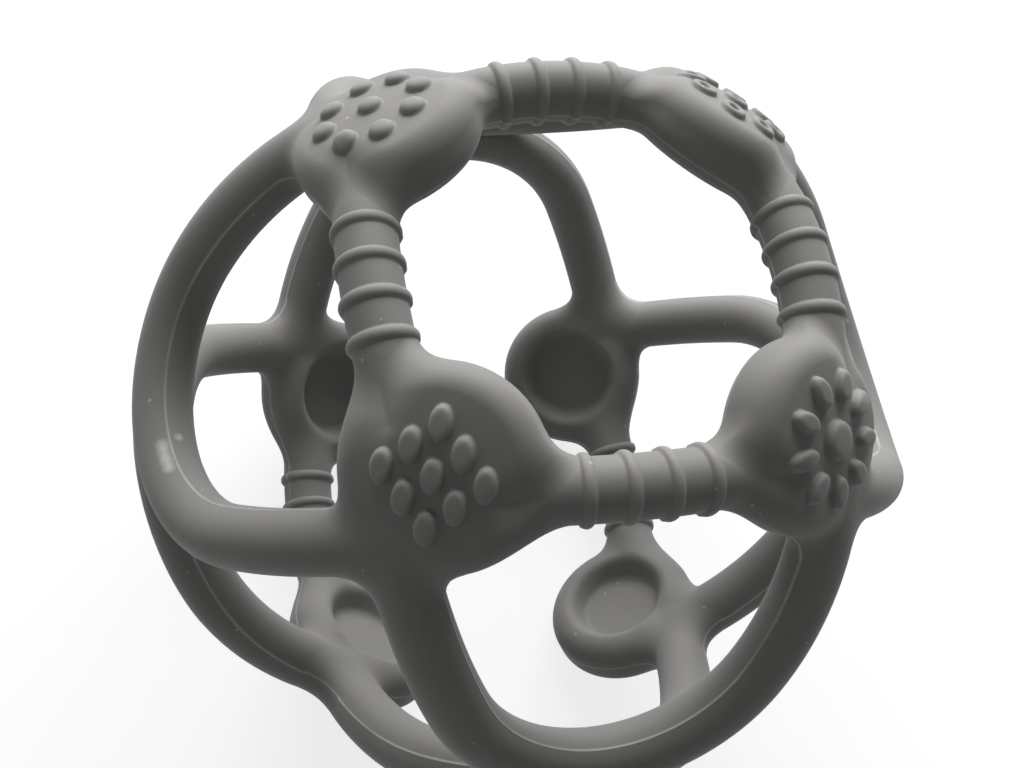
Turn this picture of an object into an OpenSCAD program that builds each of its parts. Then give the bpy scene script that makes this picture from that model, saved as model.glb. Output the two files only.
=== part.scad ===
// Sensory ball: a hollow teether of soft silicone. Eight round pads carry raised touch patterns.
// Ribbed bars and smooth loops join the pads into a springy cage that small fingers can grip.
// Millimetres. The origin is the middle of the ball, +Z points through the ring of four bars,
// and the front is towards -Y.

/* [Ball] */
// Diameter across the tips of the loops
ball_d = 100; // [94:0.5:110]
// Distance from the middle of the ball to the middle of a pad's outer face
pad_reach = 48.4; // [46:0.2:52]
// Angle between the axis of the ball and a pad
pad_polar = 40.5; // [39.5:0.5:43]
// Angle between the axis of the ball and the middle of a bar
bar_polar = 35; // [33.5:0.5:36.5]

/* [Loops] */
// Diameter of a loop's round section
loop_d = 7.3; // [6.4:0.1:7.8]
// Radius of the bend at a loop's tip
loop_bend = 20; // [17:0.5:22]
// How far a loop's leg passes beside the middle of its pad
leg_offset = 6.4; // [4.6:0.1:6.8]
// How deep the tips of an upper and a lower loop are pressed into each other, per loop
kiss_depth = 0.6; // [0.3:0.05:1.2]

/* [Bars] */
// Diameter of a bar's round section
bar_d = 7; // [6:0.1:7.8]
// How far a bar's axis lies nearer to the middle of the ball than the middle of a pad's thickness
bar_sink = 0.7; // [0:0.1:1.2]
// Number of ribs around a bar
rib_count = 4; // [2:1:5]
// Thickness of a rib
rib_t = 1.1; // [0.8:0.05:1.6]
// Distance from the end of a bar to its first rib
rib_margin = 0.9; // [0.8:0.05:1.6]

/* [Pads] */
// Diameter of a pad
pad_d = 22; // [21:0.1:24]
// Thickness of a pad at its middle
pad_t = 8.4; // [8:0.1:9.6]
// Thickness of a pad's rounded rim
rim_t = 7.8; // [7:0.1:7.9]
// Radius of the gentle curve of a pad's outer face
crown_r = 60; // [48:1:90]
// Diameter of the round recess in a pad's inner face, at its floor
recess_d = 12; // [10:0.1:12.6]
// Depth of the recess
recess_depth = 2.7; // [1.5:0.1:3.2]
// How much wider the recess is at its mouth, on each side
recess_draft = 0.7; // [0.2:0.05:1]
// Radius of the fillet between a pad's rim and an arm
fillet_r = 3; // [2.5:0.1:3.6]
// Diameter of the round section that makes the fillet
fillet_d = 5.2; // [4.6:0.1:5.4]

/* [Touch patterns] */
// Radius of the circle that the outer dots, rings and petals stand on
pattern_r = 5.9; // [5:0.1:6.4]
// Number of dots or rings on that circle
dot_count = 8; // [6:1:9]
// Diameter of a round dot
dot_d = 2.9; // [2.2:0.05:3.3]
// Height of a dot, an oval or a petal
dot_h = 1; // [0.7:0.05:1.2]
// Length of an oval
oval_l = 3.8; // [3.2:0.05:4.2]
// Width of an oval
oval_w = 2.5; // [2.2:0.05:2.8]
// Distance between the rows of ovals
oval_pitch = 3.8; // [3.6:0.05:4.3]
// Number of petals of the flower
petal_count = 9; // [7:1:9]
// Length of a petal
petal_l = 3.8; // [3.2:0.05:4.2]
// Width of a petal
petal_w = 2.5; // [2.2:0.05:2.8]
// Diameter of the dot in the middle of the flower
heart_d = 4.4; // [3.6:0.05:4.8]
// Diameter of a raised ring, along the middle of its wall
ring_d = 2.3; // [2:0.05:2.6]
// Thickness of a raised ring's wall
ring_t = 1.1; // [0.8:0.05:1.2]

/* [Hidden] */
$fn = 64;
dot_facets = 32;
silicone = "dimgray";

// How far a fillet's surface dips into the pad and the arm, so that they cross cleanly
fillet_bite = 0.25;
// How much of a fillet's sweep is left off where it ends inside the arm, in degrees
fillet_trim = 12;
// Depth of a fillet below the pad's middle, as a share of the arm's fall at the neck
fillet_fall_share = 0.7;
// Length of plain arm between a fillet and the neck
neck_land = 0.1;
// How much slimmer a leg is than the bend that it runs into
leg_slim = 0.04;
// How far a leg runs into the bend, in degrees
leg_lap = 0.6;
// Turn of each touch pattern on its pad, in degrees from the direction of the equator
dots_turn = 8;
rings_turn = 8;
ovals_turn = 26;
flower_turn = 7.5;

// Directions
quarter = 90;
eighth = quarter / 2;
function unit(v) = v / norm(v);
function heading(v) = atan2(v * pad_east, v * pad_south);

// The pad that the rest is worked out for stands between the sides at 0 and 90 degrees
pad_out = [sin(pad_polar) * cos(eighth), sin(pad_polar) * sin(eighth), cos(pad_polar)];
pad_south = [cos(pad_polar) * cos(eighth), cos(pad_polar) * sin(eighth), -sin(pad_polar)];
pad_east = [-sin(eighth), cos(eighth), 0];
pad_mid_r = pad_reach - pad_t / 2;
pad_mid = pad_mid_r * pad_out;
bar_reach = pad_mid_r - bar_sink;
pad_r = pad_d / 2;
rim_r = rim_t / 2;
rim_x = pad_r - rim_r;
rim_z = sqrt(pow(crown_r - pad_t / 2, 2) - pow(rim_x, 2)) - (crown_r - pad_t / 2);

// A bar is an arc around the middle of the ball, on the side at 0 degrees
bar_out = [sin(bar_polar), 0, cos(bar_polar)];
bar_foot = atan2(pad_mid.y, pad_mid * bar_out);
bar_away = bar_out * sin(bar_foot) - [0, cos(bar_foot), 0];
bar_miss = abs(pad_mid * cross(bar_out, [0, 1, 0]));

// A fillet is a bent tube that runs from the pad's rim into the side of an arm. The arm passes
// beside the pad's middle, away from the fillet by miss
fillet_far = pad_r + fillet_r - fillet_bite;
function fillet_side(arm_d, miss) = arm_d / 2 - miss + fillet_r - fillet_bite;
function fillet_along(arm_d, miss) = sqrt(pow(fillet_far, 2) - pow(fillet_side(arm_d, miss), 2));

// Each pad reaches out to its necks, where its bars and loops begin
function neck_angle(arm_d, miss, axis_r) = (fillet_along(arm_d, miss) + neck_land) / axis_r * 180 / PI;
bar_half = bar_foot - neck_angle(bar_d, bar_miss, bar_reach);
bar_end = bar_reach * (bar_out * cos(bar_half) + [0, sin(bar_half), 0]);

// A loop lies on a sphere of its own that passes through the pads' middles and the loop's tip
tip = [(ball_d - loop_d) / 2, 0, loop_d / 2 - kiss_depth];
loop_shift = (tip * tip - pad_mid * pad_mid) / (2 * (tip.x - pad_mid.x));
loop_mid = [loop_shift, 0, 0];
loop_r = norm(tip - loop_mid);
tip_out = unit(tip - loop_mid);
bend_angle = asin(loop_bend / loop_r);
bend_rise = atan2(tip_out.z, tip_out.x) + bend_angle;
bend_axis = [cos(bend_rise), 0, sin(bend_rise)];

// The pole of a leg's great circle, which touches the bend and passes beside the pad's middle
loop_pad_out = unit(pad_mid - loop_mid);
bend_sin = loop_bend / loop_r;
offset_sin = leg_offset / loop_r;
bend_to_pad = bend_axis * loop_pad_out;
pole_bend = (bend_sin - bend_to_pad * offset_sin) / (1 - pow(bend_to_pad, 2));
pole_pad = (offset_sin - bend_to_pad * bend_sin) / (1 - pow(bend_to_pad, 2));
pole_flat = pole_bend * bend_axis + pole_pad * loop_pad_out;
pole_rise = sqrt(1 - pole_flat * pole_flat) * unit(cross(bend_axis, loop_pad_out));
leg_pole = pole_flat + pole_rise;
leg_touch = unit(bend_axis - bend_sin * leg_pole);
leg_foot = unit(loop_pad_out - offset_sin * leg_pole);
leg_span = acos(leg_touch * leg_foot);
leg_neck = leg_span - neck_angle(loop_d, leg_offset, loop_r);
leg_end = loop_mid + loop_r * (leg_touch * cos(leg_neck) + cross(leg_pole, leg_touch) * sin(leg_neck));
leg_away = cross(leg_foot, leg_pole);
leg_d = loop_d - leg_slim;
function off_bend(v) = unit(v - (v * bend_axis) * bend_axis);
bend_half = acos(off_bend(leg_touch) * off_bend(tip_out));

// Azimuth of each side of the ball
right_side = 0;
back_side = quarter;
left_side = 2 * quarter;
front_side = 3 * quarter;

// Turns the ball's upper half over to make the lower half
module lower_half() {
    mirror([0, 0, 1])
        children();
}

// Puts local X along x_to and local Z along z_to
module aim(x_to, z_to) {
    y_to = cross(z_to, x_to);
    multmatrix([
        [x_to.x, y_to.x, z_to.x, 0],
        [x_to.y, y_to.y, z_to.y, 0],
        [x_to.z, y_to.z, z_to.z, 0],
        [0, 0, 0, 1]
    ])
        children();
}

// A round bar bent around Z, from one angle to another
module bent_tube(bend_r, tube_d, from, to) {
    rotate(from)
        rotate_extrude(angle = to - from)
            translate([bend_r, 0])
                circle(d = tube_d);
}

// Stretch of a bar's axis on the side at 0 degrees
module bar_tube(from, to) {
    rotate([0, bar_polar - quarter, 0])
        bent_tube(bar_reach, bar_d, from, to);
}

// Stretch of a loop's leg on the side at 0 degrees, counted from where it leaves the bend
module leg_tube(from, to) {
    translate(loop_mid)
        aim(leg_touch, leg_pole)
            bent_tube(loop_r, leg_d, from, to);
}

// Ribbed bar between two upper pads
module bar(side) {
    rib_pitch = (2 * bar_half - 2 * rib_margin / bar_reach * 180 / PI) / (rib_count - 1);
    color(silicone)
        rotate(side) {
            bar_tube(-bar_half, bar_half);
            rotate([0, bar_polar - quarter, 0])
                for (i = [0 : rib_count - 1])
                    rotate((i - (rib_count - 1) / 2) * rib_pitch)
                        translate([bar_reach, 0, 0])
                            rotate([quarter, 0, 0])
                                bent_tube(bar_d / 2, rib_t, 0, 4 * quarter);
        }
}

// Smooth loop that hangs from two upper pads and ends flat on the equator
module loop(side) {
    color(silicone)
        rotate(side)
            difference() {
                union() {
                    translate(loop_mid)
                        aim(off_bend(tip_out), bend_axis)
                            translate([0, 0, loop_r * cos(bend_angle)])
                                bent_tube(loop_bend, loop_d, -bend_half, bend_half);
                    leg_tube(-leg_lap, leg_neck);
                    mirror([0, 1, 0])
                        leg_tube(-leg_lap, leg_neck);
                }
                translate([0, -ball_d / 2, -ball_d])
                    cube(ball_d);
            }
}

// Bead with round ends, along X
module bead(length, width) {
    end = (length - width) / 2;
    rotate([0, quarter, 0])
        rotate_extrude($fn = dot_facets)
            intersection() {
                union() {
                    for (place = [-end, end])
                        translate([0, place])
                            circle(d = width, $fn = dot_facets);
                    translate([-width / 2, -end])
                        square([width, 2 * end]);
                }
                translate([0, -length])
                    square([length, 2 * length]);
            }
}

// Round cap of the given width and height that stands on Z = 0
module dome(width, height) {
    ball_r = (pow(width / 2, 2) + pow(height, 2)) / (2 * height);
    translate([0, 0, height - ball_r])
        sphere(ball_r, $fn = dot_facets);
}

// Puts children on the outer face of a pad, at a distance and an angle from its middle
module on_face(distance, angle) {
    rotate(angle)
        translate([0, 0, pad_t / 2 - crown_r])
            rotate([0, asin(distance / crown_r), 0])
                translate([0, 0, crown_r])
                    children();
}

// Puts children on the pattern's circle
module on_circle(count, turn) {
    for (i = [0 : count - 1])
        on_face(pattern_r, turn + i * 4 * quarter / count)
            children();
}

// Circle of round dots with one in its middle
module dots() {
    on_face(0, 0)
        dome(dot_d, dot_h);
    on_circle(dot_count, dots_turn)
        dome(dot_d, dot_h);
}

// Circle of raised rings with one in its middle
module rings() {
    on_face(0, 0)
        bent_tube(ring_d / 2, ring_t, 0, 4 * quarter, $fn = dot_facets);
    on_circle(dot_count, rings_turn)
        bent_tube(ring_d / 2, ring_t, 0, 4 * quarter, $fn = dot_facets);
}

// Three rows of three ovals, set as a diamond
module ovals() {
    for (row = [-1 : 1], column = [-1 : 1]) {
        along = oval_pitch * (row + column) / sqrt(2);
        across = oval_pitch * (row - column) / sqrt(2);
        bearing = atan2(across, along);
        on_face(norm([along, across]), ovals_turn + bearing)
            translate([0, 0, dot_h - oval_w / 2])
                rotate(-bearing)
                    bead(oval_l, oval_w);
    }
}

// Ring of petals around a wide dot
module flower() {
    on_face(0, 0)
        dome(heart_d, dot_h);
    on_circle(petal_count, flower_turn)
        translate([0, 0, dot_h - petal_w / 2])
            bead(petal_l, petal_w);
}

// Fillet from the pad's rim into an arm that leaves along X and ends at arm_end, on its +Y side
module fillet(arm_d, miss, arm_end) {
    side = fillet_side(arm_d, miss);
    along = fillet_along(arm_d, miss);
    fall = (pad_mid_r - arm_end * pad_out) * fillet_fall_share;
    at_pad = 2 * quarter + atan2(side, along);
    at_arm = 3 * quarter - fillet_trim;
    translate([along, side, -fall])
        bent_tube(fillet_r + fillet_d / 2, fillet_d, at_pad, at_arm);
}

// Half section of a pad's body, with its outer face up
module pad_section() {
    translate([rim_x, rim_z])
        circle(rim_r);
    intersection() {
        translate([0, pad_t / 2 - crown_r])
            difference() {
                circle(crown_r, $fn = 8 * dot_facets);
                circle(crown_r - pad_t, $fn = 8 * dot_facets);
            }
        translate([0, -pad_t])
            square([rim_x, 2 * pad_t]);
    }
}

// Frame of the pad between the sides at 0 and 90 degrees: X to the equator, Z out of the ball
module at_corner() {
    rotate([0, pad_polar, eighth])
        translate([0, 0, pad_mid_r])
            children();
}

// Necks of the arms that leave a pad towards the side at 0 degrees
module necks(has_bar) {
    leg_tube(leg_neck, leg_span);
    at_corner()
        rotate(heading(leg_away))
            mirror([0, 1, 0])
                fillet(loop_d, leg_offset, leg_end);
    if (has_bar) {
        bar_tube(bar_half, bar_foot);
        at_corner()
            rotate(heading(bar_away)) {
                fillet(bar_d, -bar_miss, bar_end);
                mirror([0, 1, 0])
                    fillet(bar_d, bar_miss, bar_end);
            }
    }
}

// Pad at the corner after the given side, with its touch pattern as children.
// bar_before and bar_after say whether a bar meets it from the side before and after the corner
module pad(side, bar_before = true, bar_after = true) {
    color(silicone)
        rotate(side)
            difference() {
                union() {
                    at_corner() {
                        rotate_extrude()
                            pad_section();
                        children();
                    }
                    necks(bar_before);
                    mirror(pad_east)
                        necks(bar_after);
                }
                at_corner()
                    recess();
            }
}

// Room of the drafted recess in a pad's inner face
module recess() {
    draft_slope = recess_draft / recess_depth;
    room = pad_t;
    translate([0, 0, recess_depth - pad_t / 2 - room])
        cylinder(d1 = recess_d + 2 * room * draft_slope, d2 = recess_d, h = room);
}

module top_pad_front_left() pad(left_side) ovals();
module top_pad_front_right() pad(front_side) flower();
module top_pad_back_right() pad(right_side) rings();
module top_pad_back_left() pad(back_side) dots();
module bottom_pad_front_left() lower_half() pad(left_side, bar_after = false) flower();
module bottom_pad_front_right() lower_half() pad(front_side, bar_before = false) dots();
module bottom_pad_back_right() lower_half() pad(right_side, bar_after = false) ovals();
module bottom_pad_back_left() lower_half() pad(back_side, bar_before = false) rings();
module top_bar_front() bar(front_side);
module top_bar_right() bar(right_side);
module top_bar_back() bar(back_side);
module top_bar_left() bar(left_side);
module bottom_bar_right() lower_half() bar(right_side);
module bottom_bar_left() lower_half() bar(left_side);
module top_loop_front() loop(front_side);
module top_loop_right() loop(right_side);
module top_loop_back() loop(back_side);
module top_loop_left() loop(left_side);
module bottom_loop_front() lower_half() loop(front_side);
module bottom_loop_right() lower_half() loop(right_side);
module bottom_loop_back() lower_half() loop(back_side);
module bottom_loop_left() lower_half() loop(left_side);

top_pad_front_left();
top_pad_front_right();
top_pad_back_right();
top_pad_back_left();
bottom_pad_front_left();
bottom_pad_front_right();
bottom_pad_back_right();
bottom_pad_back_left();
top_bar_front();
top_bar_right();
top_bar_back();
top_bar_left();
bottom_bar_right();
bottom_bar_left();
top_loop_front();
top_loop_right();
top_loop_back();
top_loop_left();
bottom_loop_front();
bottom_loop_right();
bottom_loop_back();
bottom_loop_left();
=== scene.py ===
"""Looks of the sensory ball: one soft silicone moulding with pads, ribbed bars and smooth loops.

Lengths are in millimetres until a mesh is made, in the CAD's frame: the origin is the middle of the ball,
+Z goes through the ring of four bars and the front is towards -Y.
"""
import math
from collections import namedtuple
from functools import lru_cache

import bpy
import numpy as np
import openvdb
from mathutils import Matrix, Vector


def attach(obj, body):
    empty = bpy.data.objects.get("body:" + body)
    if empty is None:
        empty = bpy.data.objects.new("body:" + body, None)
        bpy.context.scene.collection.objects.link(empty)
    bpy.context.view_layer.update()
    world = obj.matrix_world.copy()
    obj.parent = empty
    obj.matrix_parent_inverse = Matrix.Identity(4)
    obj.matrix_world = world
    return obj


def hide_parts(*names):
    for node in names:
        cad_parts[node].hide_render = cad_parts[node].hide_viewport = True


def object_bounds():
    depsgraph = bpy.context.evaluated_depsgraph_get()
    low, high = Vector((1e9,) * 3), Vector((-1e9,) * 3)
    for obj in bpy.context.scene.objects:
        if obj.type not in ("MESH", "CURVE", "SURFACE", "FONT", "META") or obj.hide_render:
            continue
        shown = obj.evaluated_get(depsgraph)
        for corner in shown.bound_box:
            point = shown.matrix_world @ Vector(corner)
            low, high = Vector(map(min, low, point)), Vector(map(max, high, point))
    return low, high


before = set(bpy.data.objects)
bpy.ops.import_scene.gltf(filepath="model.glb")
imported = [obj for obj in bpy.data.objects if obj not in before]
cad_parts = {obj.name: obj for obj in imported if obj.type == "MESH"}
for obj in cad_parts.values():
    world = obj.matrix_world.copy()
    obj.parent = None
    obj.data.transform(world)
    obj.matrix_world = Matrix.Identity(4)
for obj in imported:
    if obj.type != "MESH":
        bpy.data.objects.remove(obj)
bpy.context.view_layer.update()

MM = 0.001

# Driving sizes of the frame, as in the CAD
BALL_D = 100.0
PAD_REACH = 48.4
PAD_POLAR = math.radians(40.5)
BAR_POLAR = math.radians(35)
LOOP_D = 7.3
LOOP_BEND = 20.0
LEG_OFFSET = 6.4
KISS_DEPTH = 0.6
BAR_D = 7.0
BAR_REACH = 43.5
RIB_COUNT = 4
RIB_PITCH = 4.35
PAD_D = 22.0
PAD_T = 8.4
RIM_T = 7.8
CROWN_R = 60.0

# Soft forms of the moulding: the pads' outer edge, the fillets between members, the recess and the ribs
RIM_ROUND = 2.5
BAR_FLARE = 3.8
LEG_FLARE = 3.0
LEG_CROTCH = 5.0
KISS_SOFT = 1.4
KISS_NEAR = 1.0
RECESS_D = 11.4
RECESS_DEPTH = 2.7
RECESS_DRAFT = 1.2
RECESS_CORNER = 0.6
RECESS_SOFT = 1.0
RIB_H = 0.46
RIB_W = 1.3

# A pad's skin runs on inside its arms as slimmer stubs. An arm's skin shrinks where it ends inside the pad
STUB_SLIM = 0.03
STUB_REACH = 16.0
ARM_INSET = 5.5
ARM_OVERLAP = 3.0
DIVE_DEPTH = 0.6
DIVE_LENGTH = 4.0

# Parting of the mould: a fine ridge along the arms, with mesh points at FLASH_ANGLES degrees beside it, and
# a pale line. On the pads' side of the ball's open ends the line lies LINE_DROP lower. It gets there over a
# width of LINE_TURN, and only farther than LINE_FROM from a pad's middle
FLASH_H = 0.07
FLASH_W = 0.16
FLASH_ANGLES = (-6, -4, -2.5, -1.2, 0, 1.2, 2.5, 4, 6)
FLASH_CLEAR = 0.02
LINE_W = 0.15
LINE_DROP = BAR_D / 2 * math.sin(BAR_POLAR)
LINE_TURN = 2.0
LINE_FROM = 8.2

# Touch patterns. A form with a sharpness of 2 is a round dome, and a higher one has a flatter top
BUTTON_SHARP = 7
DOT_SHARP = 3
RING_SHARP = 3
PATTERN_R = 5.9
DOT_COUNT = 8
DOT_D = 3.0
DOT_H = 0.85
OVAL_L = 3.8
OVAL_W = 2.4
OVAL_H = 1.0
OVAL_PITCH = 3.8
PETAL_COUNT = 9
PETAL_L = 3.8
PETAL_W = 2.35
HEART_D = 4.4
RING_D = 2.3
RING_W = 1.15
RING_H = 0.6
DOTS_TURN = math.radians(8)
RINGS_TURN = math.radians(8)
OVALS_TURN = math.radians(26)
FLOWER_TURN = math.radians(7.5)

# Camera, fitted to the photograph: the picture's right and up as directions, and its place in millimetres
CAMERA_RIGHT = Vector((0.95891, -0.17967, 0.21969))
CAMERA_UP = Vector((0.06929, 0.89885, 0.43279))
CAMERA_PLACE = Vector((-51.3, -69.5, 160.6))
CAMERA_LENS = 48.27
CAMERA_SENSOR = 36.0
CAMERA_NEAR = 0.01

# Studio, in metres and watts. The key lamp stands beyond the top of the picture
KEY_FAR = 0.8
KEY_ASIDE = 0.12
KEY_SIZE = 0.8
KEY_POWER = 11.6
FILL_PLACE = Vector((0.0, -0.8, 0.1))
FILL_SIZE = 0.6
FILL_POWER = 0.25
SIDE_PLACE = Vector((-0.8, 0.0, 0.1))
SIDE_SIZE = 0.6
SIDE_POWER = 0.5
ROOM_LIGHT = 0.075
FLOOR_REACH = 6.0
FLOOR_BOUNCE = 0.35
FLOOR_SHADE = 0.3
FLOOR_GLOW = 0.8
FLOOR_NEAR = 0.2
FLOOR_FAR = 0.7

# Silicone: its greys, and how strongly each mark covers the one below it
WARMTH = (1.02, 1.0, 0.965)
GREY_DARK = 0.25
GREY_PALE = 0.29
GREY_BLOOM = 0.305
BLOOM_SHARE = 0.5
GREY_RAISED = 0.45
RAISED_SHARE = 0.3
GREY_LINE = 0.62
LINE_SHARE = 0.85
GREY_SPECK = 0.6
SPECK_SHARE = 0.6
GREY_RUB = 0.75
RUB_SHARE = 0.7
CLOUD_SCALE = 70.0
CLOUD_DETAIL = 4.0
BLOOM_SCALE = 320.0
BLOOM_DETAIL = 5.0
GRAIN_SCALE = 2600.0
GRAIN_DETAIL = 3.0
SPECK_SCALE = 420.0
SPECK_SIZE = 0.1
RARE_SCALE = 160.0
RARE_DETAIL = 2.0
RARE_ABOVE = 0.6
WORN_BELOW = 0.3
WORN_ABOVE = 0.56
ROUGH_LEAST = 0.5
ROUGH_MOST = 0.68
GRAIN_BUMP = 0.3
BLOOM_BUMP = 0.5
LINE_BUMP = 0.8
BUMP_STRENGTH = 0.35
BUMP_DISTANCE = 0.06
SPECULAR = 0.2
SHEEN = 0.12
SHEEN_ROUGH = 0.5

# Pale rub mark on the loop at the left: the middles and radii of the spots that make it up
RUB_SPOTS = (
    (Vector((-46.8, -3.9, 7.0)), 1.1),
    (Vector((-46.7, -5.0, 7.2)), 1.1),
    (Vector((-46.5, -6.1, 7.5)), 1.1),
    (Vector((-46.3, -7.2, 7.9)), 1.0),
    (Vector((-44.8, -2.9, 6.6)), 0.7),
)

# Fineness of the meshes
PAD_STEP = 0.24
SETTLE_ROUNDS = 3
SETTLE_REACH = PAD_STEP / 10
SLOPE_LEAST = 0.25
LOOP_STEP = 0.9
BAR_STEP = 0.14
SEGMENTS = 40

# Sockets of Blender's Mix node for colours, which share their names with those for numbers
MIX_A = 6
MIX_B = 7
MIX_RESULT = 2


def vec(*xyz):
    return np.array(xyz, dtype=float)


def unit(v):
    return v / np.linalg.norm(v)


# The pad that the rest is worked out for stands halfway between the right and the back side
PAD_TURN = math.pi / 4
pad_out = vec(
    math.sin(PAD_POLAR) * math.cos(PAD_TURN),
    math.sin(PAD_POLAR) * math.sin(PAD_TURN),
    math.cos(PAD_POLAR),
)
pad_south = vec(
    math.cos(PAD_POLAR) * math.cos(PAD_TURN),
    math.cos(PAD_POLAR) * math.sin(PAD_TURN),
    -math.sin(PAD_POLAR),
)
pad_east = vec(-math.sin(PAD_TURN), math.cos(PAD_TURN), 0)
pad_axes = np.array([pad_south, pad_east, pad_out])
pad_mid = (PAD_REACH - PAD_T / 2) * pad_out

# An arm's axis is an arc on a sphere around mid. Angles count from start, around axis
Arc = namedtuple("Arc", "mid start axis radius")


def arc_point(arc, angle):
    across = np.cross(arc.axis, arc.start)
    return arc.mid + arc.radius * (math.cos(angle) * arc.start + math.sin(angle) * across)


# Bar on the right side
bar_out = vec(math.sin(BAR_POLAR), 0, math.cos(BAR_POLAR))
bar_arc = Arc(vec(0, 0, 0), bar_out, np.cross(bar_out, vec(0, 1, 0)), BAR_REACH)
bar_foot = math.atan2(pad_mid[1], pad_mid @ bar_out)

# Loop on the right side: a bend at its tip, and a leg that runs from the bend to the pad
tip = vec((BALL_D - LOOP_D) / 2, 0, LOOP_D / 2 - KISS_DEPTH)
loop_mid = vec((tip @ tip - pad_mid @ pad_mid) / (2 * (tip[0] - pad_mid[0])), 0, 0)
loop_r = np.linalg.norm(tip - loop_mid)
tip_out = unit(tip - loop_mid)
bend_sin = LOOP_BEND / loop_r
bend_rise = math.atan2(tip_out[2], tip_out[0]) + math.asin(bend_sin)
bend_axis = vec(math.cos(bend_rise), 0, math.sin(bend_rise))
loop_pad_out = unit(pad_mid - loop_mid)
offset_sin = LEG_OFFSET / loop_r
bend_to_pad = bend_axis @ loop_pad_out
pole_flat = (
    (bend_sin - bend_to_pad * offset_sin) * bend_axis
    + (offset_sin - bend_to_pad * bend_sin) * loop_pad_out
) / (1 - bend_to_pad**2)
pole_rise = math.sqrt(1 - pole_flat @ pole_flat) * unit(np.cross(bend_axis, loop_pad_out))
leg_pole = pole_flat + pole_rise
leg_arc = Arc(loop_mid, unit(bend_axis - bend_sin * leg_pole), leg_pole, loop_r)
leg_span = math.acos(leg_arc.start @ unit(loop_pad_out - offset_sin * leg_pole))


def off_bend(v):
    return unit(v - (v @ bend_axis) * bend_axis)


bend_mid = loop_mid + loop_r * math.cos(math.asin(bend_sin)) * bend_axis
bend_arc = Arc(bend_mid, off_bend(tip_out), bend_axis, LOOP_BEND)
bend_half = math.acos(off_bend(leg_arc.start) @ bend_arc.start)

# Where points lie beside a member: how far past its outline within its middle surface, the lift off that
# surface, half the member's thickness, and the radius that its edge is rounded with
Place = namedtuple("Place", "past lift half round_r")


def from_arc(points, arc, low, high):
    """Way to each point from the nearest spot on a stretch of an arc."""
    across = np.cross(arc.axis, arc.start)
    q = points - arc.mid
    angle = np.clip(np.arctan2(q @ across, q @ arc.start), low, high)
    return q - arc.radius * (np.outer(np.cos(angle), arc.start) + np.outer(np.sin(angle), across))


def length(ways):
    return np.sqrt((ways**2).sum(axis=1))


def by_arm(points, arc, low, high, thickness):
    """Beside the stub of an arm, on a stretch of its arc."""
    gap = length(from_arc(points, arc, low, high))
    lift = length(points - arc.mid) - arc.radius
    half = thickness / 2 - STUB_SLIM
    return Place(np.sqrt(np.maximum(gap**2 - lift**2, 0)) - half, lift, half, half)


def by_disc(local):
    """Beside the pad's disc, in the pad's own axes. Its edge is full-round on the side inside the ball."""
    across = np.hypot(local[:, 0], local[:, 1])
    crown_mid = CROWN_R - PAD_T / 2
    lift = np.sqrt(across**2 + (local[:, 2] + crown_mid) ** 2) - crown_mid
    half = PAD_T / 2 - (PAD_T - RIM_T) / 2 * np.clip(2 * across / PAD_D, 0, 1) ** 2
    return Place(across - PAD_D / 2, lift, half, np.where(lift > 0, RIM_ROUND, half))


def join(a, b, soft):
    """Two members that run into each other with a fillet within their middle surface."""
    near = np.maximum(soft - np.abs(a.past - b.past), 0) / soft
    share = np.where(a.past < b.past, near**2 / 2, 1 - near**2 / 2)
    past = np.minimum(a.past, b.past) - near**2 * soft / 4
    return Place(past, *(x + share * (y - x) for x, y in zip(a[1:], b[1:])))


def soft_max(a, b, soft):
    """The higher of two fields, with a rounded edge where they meet."""
    near = np.maximum(soft - np.abs(a - b), 0) / soft
    return np.maximum(a, b) + near**2 * soft / 4


def swap_sides(points):
    """Mirror image across the pad's own plane of symmetry."""
    return points[:, [1, 0, 2]]


def pad_place(local, bar_before, bar_after):
    """Beside a pad's disc and the stubs of its two legs and of the bars that it has, run into one."""
    points = pad_mid + local @ pad_axes
    mirrored = swap_sides(points)
    inset = ARM_INSET / BAR_REACH
    out = STUB_REACH / BAR_REACH
    leg = (leg_arc, leg_span - out, leg_span - inset, LOOP_D)
    bar = (bar_arc, bar_foot - out, bar_foot - inset, BAR_D)
    legs = join(by_arm(points, *leg), by_arm(mirrored, *leg), LEG_CROTCH)
    place = join(by_disc(local), legs, LEG_FLARE)
    if bar_before:
        place = join(place, by_arm(points, *bar), BAR_FLARE)
    if bar_after:
        place = join(place, by_arm(mirrored, *bar), BAR_FLARE)
    return place


# Touch patterns: the height of raised forms over a pad's face, at x towards the equator and y to the east
def button(x, y, long_d, wide_d, height, sharp):
    q = np.minimum(np.sqrt((2 * x / long_d) ** 2 + (2 * y / wide_d) ** 2), 1)
    return height * np.sqrt(1 - q**sharp)


def ring(x, y):
    q = np.minimum(np.abs(np.hypot(x, y) - RING_D / 2) / (RING_W / 2), 1)
    return RING_H * np.sqrt(1 - q**RING_SHARP)


def turned(x, y, angle):
    return x * math.cos(angle) + y * math.sin(angle), y * math.cos(angle) - x * math.sin(angle)


def on_circle(x, y, count, turn, form):
    """Highest of count forms on the pattern's circle, each with its own x pointing outwards."""
    height = np.zeros_like(x)
    for i in range(count):
        u, v = turned(x, y, turn + i * 2 * math.pi / count)
        height = np.maximum(height, form(u - PATTERN_R, v))
    return height


def dot(x, y):
    return button(x, y, DOT_D, DOT_D, DOT_H, DOT_SHARP)


def petal(x, y):
    return button(x, y, PETAL_L, PETAL_W, OVAL_H, BUTTON_SHARP)


def dots(x, y):
    return np.maximum(dot(x, y), on_circle(x, y, DOT_COUNT, DOTS_TURN, dot))


def rings(x, y):
    return np.maximum(ring(x, y), on_circle(x, y, DOT_COUNT, RINGS_TURN, ring))


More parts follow.
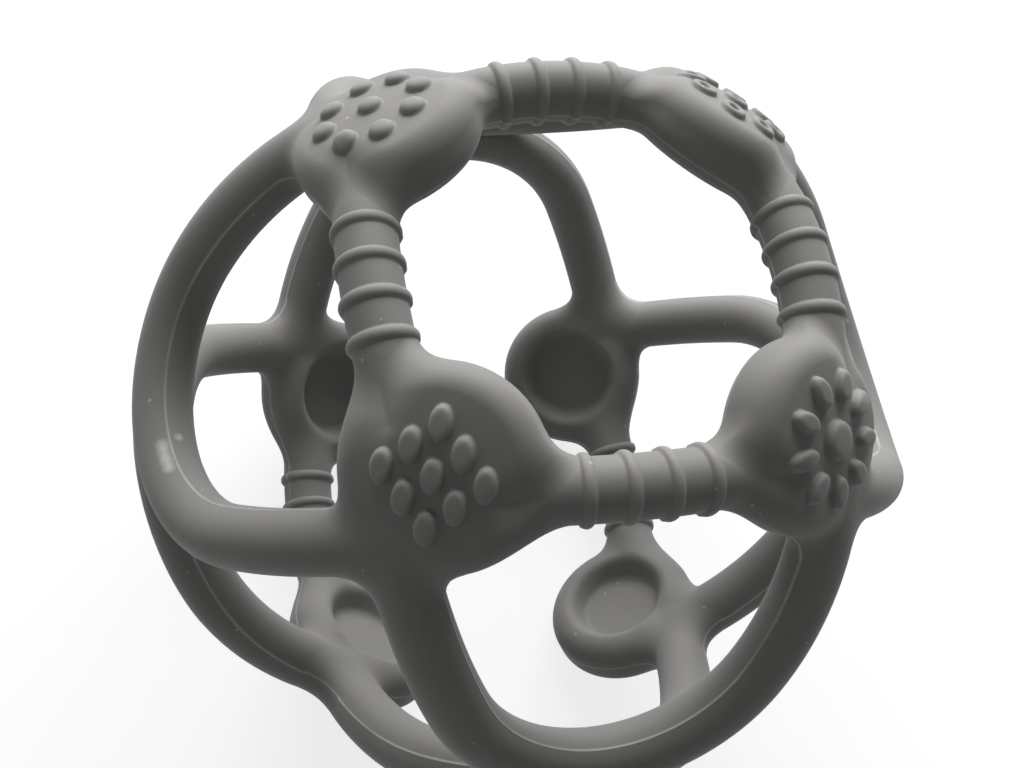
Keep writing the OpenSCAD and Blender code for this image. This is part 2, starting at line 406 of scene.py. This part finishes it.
def flower(x, y):
    heart = button(x, y, HEART_D, HEART_D, OVAL_H, BUTTON_SHARP)
    return np.maximum(heart, on_circle(x, y, PETAL_COUNT, FLOWER_TURN, petal))


def ovals(x, y):
    u, v = turned(x, y, OVALS_TURN)
    height = np.zeros_like(x)
    for row in (-1, 0, 1):
        for column in (-1, 0, 1):
            along = OVAL_PITCH * (row + column) / math.sqrt(2)
            across = OVAL_PITCH * (row - column) / math.sqrt(2)
            oval = button(u - along, v - across, OVAL_L, OVAL_W, OVAL_H, BUTTON_SHARP)
            height = np.maximum(height, oval)
    return height


def on_face(local):
    """Whether points lie where a pad's touch pattern can reach."""
    return (local[:, 2] > 0) & (np.hypot(local[:, 0], local[:, 1]) < PATTERN_R + PETAL_L)


def plain_pad(local, bar_before, bar_after):
    """Below zero inside a pad with no touch pattern, in the pad's own axes."""
    place = pad_place(local, bar_before, bar_after)
    beside = np.maximum(place.past + place.round_r, 0)
    above = np.maximum(np.abs(place.lift) - place.half + place.round_r, 0)
    body = np.hypot(beside, above) - place.round_r
    x, y, z = local.T
    depth = z + PAD_T / 2
    slope = RECESS_DRAFT / RECESS_DEPTH
    wall = np.hypot(x, y) - RECESS_D / 2 - slope * (RECESS_DEPTH - depth)
    room = soft_max(wall, depth - RECESS_DEPTH, RECESS_CORNER)
    return soft_max(body, -room, RECESS_SOFT)


def with_pattern(local, plain, pattern):
    """The plain pad's field with a touch pattern raised on its outer face."""
    face = on_face(local)
    field = plain.copy()
    field[face] -= pattern(local[face, 0], local[face, 1])
    return field


grid_low = vec(-STUB_REACH - LOOP_D, -STUB_REACH - LOOP_D, -2 * PAD_T)
grid_high = vec(STUB_REACH + LOOP_D, STUB_REACH + LOOP_D, PAD_T)
grid_axes = [np.arange(a, b, PAD_STEP) for a, b in zip(grid_low, grid_high)]
grid_shape = [len(axis) for axis in grid_axes]
grid_spots = np.stack(np.meshgrid(*grid_axes, indexing="ij"), axis=-1).reshape(-1, 3)


@lru_cache(maxsize=None)
def plain_grid(bar_before, bar_after):
    """Plain pad's field on the grid, worked out once for each choice of bars."""
    return plain_pad(grid_spots, bar_before, bar_after)


def line_drop(local):
    """How far the parting line lies below a pad's middle surface.

    On the side of the ball's open ends the mould opens straight up or down, so the line is nearer the inside
    of the ball there, where the edge stands upright."""
    points = pad_mid + local @ pad_axes
    beyond_bars = np.minimum(points @ bar_arc.axis, swap_sides(points) @ bar_arc.axis)
    drop = LINE_DROP * np.clip(0.5 + beyond_bars / LINE_TURN, 0, 1)
    return np.where(np.hypot(local[:, 0], local[:, 1]) > LINE_FROM, drop, 0)


def settle(points, field):
    """Moves points onto the field's zero surface."""
    for _ in range(SETTLE_ROUNDS):
        value = field(points)
        rises = [field(points + SETTLE_REACH * e) - field(points - SETTLE_REACH * e) for e in np.eye(3)]
        slope = np.stack([rise / (2 * SETTLE_REACH) for rise in rises], axis=1)
        move = value / np.maximum((slope**2).sum(axis=1), SLOPE_LEAST)
        points = points - np.clip(move, -PAD_STEP, PAD_STEP)[:, None] * slope
    return points


def pad_mesh(pattern, bar_before, bar_after):
    """Points, faces and marks of a pad between the right and the back side."""

    def field(local):
        return with_pattern(local, plain_pad(local, bar_before, bar_after), pattern)

    values = with_pattern(grid_spots, plain_grid(bar_before, bar_after), pattern).reshape(grid_shape)
    grid = openvdb.FloatGrid(PAD_T)
    grid.copyFromArray(np.ascontiguousarray(values, dtype=np.float32))
    points, faces = grid.convertToQuads(0.0)
    local = settle(grid_low + points.astype(float) * PAD_STEP, field)
    raised = np.where(on_face(local), pattern(local[:, 0], local[:, 1]) / OVAL_H, 0)
    off_line = pad_place(local, bar_before, bar_after).lift + line_drop(local)
    marks = {"parting": off_line, "raised": np.minimum(raised, 1)}
    return pad_mid + local @ pad_axes, faces, marks


def section(drop):
    """Angles around an arm's round section, from its outermost point, finer at its two parting lines.

    The second line is turned by drop towards the inside of the ball."""
    lines = (math.pi / 2, 3 * math.pi / 2 - drop)
    even = np.arange(SEGMENTS) * 2 * math.pi / SEGMENTS
    clear = [a for a in even if all(1 - math.cos(a - line) > FLASH_CLEAR for line in lines)]
    return np.sort(np.concatenate([clear] + [line + np.radians(FLASH_ANGLES) for line in lines]))


def sweep(stations, radius, out_from, drop):
    """Points, faces and marks of a closed tube along stations, with the radius given at each.

    It has the fine ridge that the mould leaves at its two parting lines. Its section starts on the side away
    from out_from."""
    count = len(stations)
    along = np.gradient(stations, axis=0)
    along /= np.linalg.norm(along, axis=1)[:, None]
    out = stations - out_from
    out -= (out * along).sum(axis=1)[:, None] * along
    out /= np.linalg.norm(out, axis=1)[:, None]
    side = np.cross(along, out)
    angles = section(drop)
    off_line = radius[:, None] * np.cos(angles + np.where(angles > math.pi, drop, 0))
    radii = radius[:, None] + FLASH_H * np.exp(-((off_line / FLASH_W) ** 2))
    points = (
        stations[:, None, :]
        + (radii * np.cos(angles))[..., None] * out[:, None, :]
        + (radii * np.sin(angles))[..., None] * side[:, None, :]
    ).reshape(-1, 3)
    size = len(angles)
    ring_a = np.arange(count - 1)[:, None] * size + np.arange(size)
    ring_b = np.arange(count - 1)[:, None] * size + (np.arange(size) + 1) % size
    faces = np.stack([ring_a, ring_b, ring_b + size, ring_a + size], axis=-1).reshape(-1, 4).tolist()
    faces.append(list(range(size))[::-1])
    faces.append(list(range((count - 1) * size, count * size)))
    return points, faces, {"parting": off_line.reshape(-1), "raised": np.zeros(len(points))}


def dive(radius, to_end):
    """Radius that shrinks smoothly over the last stretch of an arm, where it is inside the pad."""
    return radius - DIVE_DEPTH * np.clip(1 - to_end / DIVE_LENGTH, 0, 1) ** 2


def loop_mesh():
    """Loop on the right side of the upper half."""
    leg_end = leg_span - (ARM_INSET + ARM_OVERLAP) / loop_r
    leg_count = int(leg_end * loop_r / LOOP_STEP)
    bend_count = int(2 * bend_half * LOOP_BEND / LOOP_STEP)
    leg = np.array([arc_point(leg_arc, a) for a in np.linspace(leg_end, 0, leg_count)])
    bend_angles = np.linspace(bend_half, -bend_half, bend_count)[1:-1]
    bend = np.array([arc_point(bend_arc, a) for a in bend_angles])
    line = np.concatenate([leg, bend, leg[::-1] * vec(1, -1, 1)])
    run = np.concatenate([[0], np.cumsum(np.linalg.norm(np.diff(line, axis=0), axis=1))])
    to_end = np.minimum(run, run[-1] - run)
    points, faces, marks = sweep(line, dive(LOOP_D / 2, to_end), loop_mid, 0)
    return kiss(points), faces, marks


def kiss(points):
    """Melts the tip of an upper loop into the lower loop, and ends it flat on the equator."""
    gap = length(from_arc(points * vec(1, 1, -1), bend_arc, -bend_half, bend_half)) - LOOP_D / 2
    swell = np.clip(KISS_SOFT - gap, 0, KISS_SOFT) ** 2 / (4 * KISS_SOFT)
    away = from_arc(points, bend_arc, -bend_half, bend_half) * vec(1, 1, 0)
    away /= np.maximum(length(away), KISS_NEAR)[:, None]
    points = points + swell[:, None] * away
    return np.where((points[:, 2] < 0)[:, None], points * vec(1, 1, 0), points)


def bar_mesh():
    """Ribbed bar on the right side of the upper half."""
    half = bar_foot - (ARM_INSET + ARM_OVERLAP) / BAR_REACH
    angles = np.linspace(-half, half, int(2 * half * BAR_REACH / BAR_STEP))
    line = np.array([arc_point(bar_arc, a) for a in angles])
    run = angles * BAR_REACH
    ribs = np.zeros_like(run)
    for i in range(RIB_COUNT):
        beside = run - (i - (RIB_COUNT - 1) / 2) * RIB_PITCH
        ribs += RIB_H * np.sqrt(np.maximum(1 - (2 * beside / RIB_W) ** 2, 0))
    radius = dive(BAR_D / 2, half * BAR_REACH - np.abs(run)) + ribs
    points, faces, marks = sweep(line, radius, vec(0, 0, 0), BAR_POLAR)
    marks["raised"] = np.repeat(ribs / RIB_H, len(points) // len(line))
    return points, faces, marks


def add_piece(name, points, faces, marks, turn, lower):
    """Makes a piece at its side of the ball, in place of the CAD node of that name.

    Its marks are kept on its points for the material: parting is the distance to the surface where the
    mould parted, and raised is 1 on the tops of the highest touch patterns and of the ribs."""
    cos, sin = math.cos(turn), math.sin(turn)
    points = points @ np.array([[cos, sin, 0], [-sin, cos, 0], [0, 0, 1]])
    faces = [list(f) for f in faces]
    if lower:
        points = points * vec(1, 1, -1)
    mesh = bpy.data.meshes.new(name + "_skin")
    mesh.from_pydata((points * MM).tolist(), [], faces)
    mesh.update()
    corners = [mesh.vertices[v].co for f in mesh.polygons for v in f.vertices[:3]]
    a, b, c = np.array(corners).reshape(-1, 3, 3).transpose(1, 0, 2)
    volume = np.einsum("ij,ij->i", a, np.cross(b, c)).sum()
    if volume < 0:
        mesh.flip_normals()
    mesh.shade_smooth()
    for mark, values in marks.items():
        mesh.attributes.new(mark, "FLOAT", "POINT").data.foreach_set("value", values.astype(np.float32))
    piece = bpy.data.objects.new(name + "_skin", mesh)
    bpy.context.scene.collection.objects.link(piece)
    mesh.materials.append(silicone)
    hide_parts(name)
    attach(piece, "root")


def feed(tree, socket, value):
    """Sets a socket to a value, or links another node's output to it."""
    if isinstance(value, bpy.types.NodeSocket):
        tree.links.new(value, socket)
    else:
        socket.default_value = value


def node(tree, kind, **inputs):
    """Adds a shader node and feeds its inputs, which are named with _ for a space."""
    made = tree.nodes.new(kind)
    for key, value in inputs.items():
        feed(tree, made.inputs[key.replace("_", " ")], value)
    return made


def maths(tree, operation, a, b=0.0):
    made = tree.nodes.new("ShaderNodeMath")
    made.operation = operation
    for socket, value in zip(made.inputs, (a, b)):
        feed(tree, socket, value)
    return made.outputs[0]


def mix_colour(tree, share, a, b):
    made = tree.nodes.new("ShaderNodeMix")
    made.data_type = "RGBA"
    feed(tree, made.inputs["Factor"], share)
    feed(tree, made.inputs[MIX_A], a)
    feed(tree, made.inputs[MIX_B], b)
    return made.outputs[MIX_RESULT]


def map_range(tree, value, **ends):
    return node(tree, "ShaderNodeMapRange", Value=value, **ends).outputs["Result"]


def noise(tree, place, scale, detail):
    return node(tree, "ShaderNodeTexNoise", Vector=place, Scale=scale, Detail=detail).outputs["Fac"]


def distance(tree, place, spot):
    made = tree.nodes.new("ShaderNodeVectorMath")
    made.operation = "DISTANCE"
    feed(tree, made.inputs[0], place)
    feed(tree, made.inputs[1], spot)
    return made.outputs["Value"]


def grey(value):
    return (value, value, value, 1)


def warm_grey(value):
    return (*(value * share for share in WARMTH), 1)


def marked(tree, mark):
    """A piece's own mark as a number for its material."""
    made = tree.nodes.new("ShaderNodeAttribute")
    made.attribute_name = mark
    return made.outputs["Fac"]


def rub_mark(tree, place):
    """How strong the rub mark is: its spots run together, and each falls to zero at its edge."""
    mark = 0.0
    for spot, reach in RUB_SPOTS:
        near = maths(tree, "DIVIDE", distance(tree, place, spot * MM), reach * MM)
        inside = maths(tree, "MAXIMUM", maths(tree, "SUBTRACT", 1.0, near), 0.0)
        mark = maths(tree, "ADD", mark, inside)
    return maths(tree, "MINIMUM", mark, 1.0)


def make_silicone():
    """Matte grey silicone with a faint bloom, dust specks, a rub mark and pale parting lines."""
    material = bpy.data.materials.new("silicone_matte_grey")
    material.use_nodes = True
    tree = material.node_tree
    shader = tree.nodes["Principled BSDF"]
    place = tree.nodes.new("ShaderNodeTexCoord").outputs["Object"]
    cloud = noise(tree, place, CLOUD_SCALE, CLOUD_DETAIL)
    bloom = noise(tree, place, BLOOM_SCALE, BLOOM_DETAIL)
    grain = noise(tree, place, GRAIN_SCALE, GRAIN_DETAIL)
    rare = noise(tree, place, RARE_SCALE, RARE_DETAIL)
    specks = node(tree, "ShaderNodeTexVoronoi", Vector=place, Scale=SPECK_SCALE).outputs["Distance"]
    speck = maths(tree, "LESS_THAN", specks, SPECK_SIZE)
    speck = maths(tree, "MULTIPLY", speck, maths(tree, "GREATER_THAN", rare, RARE_ABOVE))

    squared = maths(tree, "POWER", maths(tree, "DIVIDE", marked(tree, "parting"), LINE_W), 2.0)
    line = maths(tree, "EXPONENT", maths(tree, "MULTIPLY", squared, -1.0))
    line = maths(tree, "MULTIPLY", line, map_range(tree, cloud, From_Min=WORN_BELOW, From_Max=WORN_ABOVE))
    rub = maths(tree, "MULTIPLY", rub_mark(tree, place), maths(tree, "ADD", grain, bloom))

    colour = mix_colour(tree, cloud, warm_grey(GREY_DARK), warm_grey(GREY_PALE))
    layers = (
        (bloom, BLOOM_SHARE, GREY_BLOOM),
        (marked(tree, "raised"), RAISED_SHARE, GREY_RAISED),
        (line, LINE_SHARE, GREY_LINE),
        (speck, SPECK_SHARE, GREY_SPECK),
        (rub, RUB_SHARE, GREY_RUB),
    )
    for mark, share, value in layers:
        colour = mix_colour(tree, maths(tree, "MULTIPLY", mark, share), colour, warm_grey(value))
    tree.links.new(colour, shader.inputs["Base Color"])

    rough = map_range(tree, bloom, To_Min=ROUGH_LEAST, To_Max=ROUGH_MOST)
    tree.links.new(rough, shader.inputs["Roughness"])

    height = maths(tree, "MULTIPLY", grain, GRAIN_BUMP)
    for mark, share in ((bloom, BLOOM_BUMP), (line, LINE_BUMP)):
        height = maths(tree, "ADD", height, maths(tree, "MULTIPLY", mark, share))
    bump = node(tree, "ShaderNodeBump", Height=height, Strength=BUMP_STRENGTH, Distance=BUMP_DISTANCE * MM)
    tree.links.new(bump.outputs["Normal"], shader.inputs["Normal"])
    shader.inputs["Specular IOR Level"].default_value = SPECULAR
    shader.inputs["Sheen Weight"].default_value = SHEEN
    shader.inputs["Sheen Roughness"].default_value = SHEEN_ROUGH
    return material


silicone = make_silicone()

# Turn of each side from the right side, and of each corner from the one between the right and the back
SIDES = {"right": 0, "back": math.pi / 2, "left": math.pi, "front": 3 * math.pi / 2}
CORNERS = {"back_right": 0, "back_left": math.pi / 2, "front_left": math.pi, "front_right": 3 * math.pi / 2}
# Each pad's touch pattern, and whether it has the bars on the two sides that it stands between
PADS = {
    "top_pad_front_left": (ovals, True, True),
    "top_pad_front_right": (flower, True, True),
    "top_pad_back_right": (rings, True, True),
    "top_pad_back_left": (dots, True, True),
    "bottom_pad_front_left": (flower, True, False),
    "bottom_pad_front_right": (dots, False, True),
    "bottom_pad_back_right": (ovals, True, False),
    "bottom_pad_back_left": (rings, False, True),
}
for name, (pattern, bar_before, bar_after) in PADS.items():
    half, corner = name.split("_pad_")
    add_piece(name, *pad_mesh(pattern, bar_before, bar_after), CORNERS[corner], half == "bottom")
the_loop = loop_mesh()
for half in ("top", "bottom"):
    for side, turn in SIDES.items():
        add_piece(f"{half}_loop_{side}", *the_loop, turn, half == "bottom")
the_bar = bar_mesh()
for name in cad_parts:
    if "_bar_" in name:
        half, side = name.split("_bar_")
        add_piece(name, *the_bar, SIDES[side], half == "bottom")


def seen_by_eye(tree):
    """One on the rays that show the background: the camera's, and those off gloss or through glass."""
    path = tree.nodes.new("ShaderNodeLightPath").outputs
    seen = maths(tree, "MAXIMUM", path["Is Camera Ray"], path["Is Glossy Ray"])
    return maths(tree, "MAXIMUM", seen, path["Is Transmission Ray"])


def make_floor():
    """Pale floor that the ball stands on. It keeps the ball's shadow, and looks white farther off."""
    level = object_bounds()[0][2]
    mesh = bpy.data.meshes.new("floor")
    square = ((-1, -1), (1, -1), (1, 1), (-1, 1))
    corners = [(x * FLOOR_REACH, y * FLOOR_REACH, level) for x, y in square]
    mesh.from_pydata(corners, [], [(0, 1, 2, 3)])
    floor = bpy.data.objects.new("floor", mesh)
    bpy.context.scene.collection.objects.link(floor)
    material = bpy.data.materials.new("floor_pale")
    material.use_nodes = True
    tree = material.node_tree
    tree.nodes.remove(tree.nodes["Principled BSDF"])
    seen = seen_by_eye(tree)
    colour = mix_colour(tree, seen, grey(FLOOR_BOUNCE), grey(FLOOR_SHADE))
    cloth = node(tree, "ShaderNodeBsdfDiffuse", Color=colour)
    place = tree.nodes.new("ShaderNodeTexCoord").outputs["Object"]
    away = distance(tree, place, Vector((0, 0, 0)))
    white = map_range(tree, away, From_Min=FLOOR_NEAR, From_Max=FLOOR_FAR, To_Min=FLOOR_GLOW)
    strength = maths(tree, "MULTIPLY", seen, white)
    glow = node(tree, "ShaderNodeEmission", Color=grey(1), Strength=strength)
    both = tree.nodes.new("ShaderNodeAddShader")
    tree.links.new(cloth.outputs[0], both.inputs[0])
    tree.links.new(glow.outputs[0], both.inputs[1])
    tree.links.new(both.outputs[0], tree.nodes["Material Output"].inputs["Surface"])
    mesh.materials.append(material)


def make_world():
    """Dim even light all round, and white where the camera looks past the floor."""
    world = bpy.data.worlds.new("studio")
    bpy.context.scene.world = world
    world.use_nodes = True
    tree = world.node_tree
    strength = map_range(tree, seen_by_eye(tree), To_Min=ROOM_LIGHT)
    tree.links.new(strength, tree.nodes["Background"].inputs["Strength"])
    tree.nodes["Background"].inputs["Color"].default_value = grey(1)


def area_lamp(name, place, size, power):
    """Square lamp that faces the ball."""
    light = bpy.data.lights.new(name, "AREA")
    light.size = size
    light.energy = power
    lamp = bpy.data.objects.new(name, light)
    lamp.location = place
    lamp.rotation_euler = (-place).to_track_quat("-Z", "Y").to_euler()
    bpy.context.scene.collection.objects.link(lamp)


def make_camera():
    """Camera at the photograph's place, turn and lens, fitted to the pads and loops in it."""
    data = bpy.data.cameras.new("camera")
    data.lens = CAMERA_LENS
    data.sensor_width = CAMERA_SENSOR
    data.clip_start = CAMERA_NEAR
    camera = bpy.data.objects.new("camera", data)
    turn = Matrix((CAMERA_RIGHT, CAMERA_UP, CAMERA_RIGHT.cross(CAMERA_UP))).transposed().to_4x4()
    camera.matrix_world = Matrix.Translation(CAMERA_PLACE * MM) @ turn
    bpy.context.scene.collection.objects.link(camera)
    bpy.context.scene.camera = camera


make_floor()
make_world()
area_lamp("key", (CAMERA_UP + KEY_ASIDE * CAMERA_RIGHT) * KEY_FAR, KEY_SIZE, KEY_POWER)
area_lamp("fill", FILL_PLACE, FILL_SIZE, FILL_POWER)
area_lamp("side", SIDE_PLACE, SIDE_SIZE, SIDE_POWER)
make_camera()
bpy.context.scene.view_settings.view_transform = "Standard"
